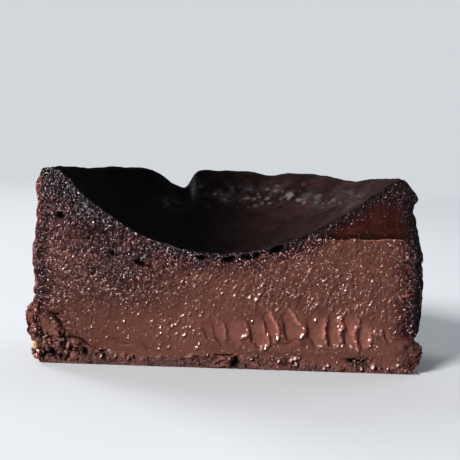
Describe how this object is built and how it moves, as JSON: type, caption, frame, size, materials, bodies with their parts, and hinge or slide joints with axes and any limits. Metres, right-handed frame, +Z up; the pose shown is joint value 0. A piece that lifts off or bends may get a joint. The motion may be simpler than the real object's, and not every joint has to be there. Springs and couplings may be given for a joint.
{
  "type": "half basque chocolate cheesecake",
  "caption": "Half of a small round baked chocolate cheesecake, cut straight across, with a sunken dark top, an uneven rim and a thin crumb base; stands on its flat underside.",
  "frame": {"origin": "on the flat underside, below the middle of the half's own box", "axes": "+X along the cut to the picture's right, +Y away from the cut face towards the baked outer wall, +Z up"},
  "size_m": [0.1223, 0.0613, 0.0611],
  "materials": {
    "chocolate_filling": "moist dark chocolate custard with a baked skin, satin with small wet glints",
    "chocolate_crumb": "pressed dark biscuit crumb, rough, with small buttery glints"
  },
  "bodies": {
    "root": {"cheesecake": "chocolate_filling", "crumb_base": "chocolate_crumb"}
  },
  "joints": []
}
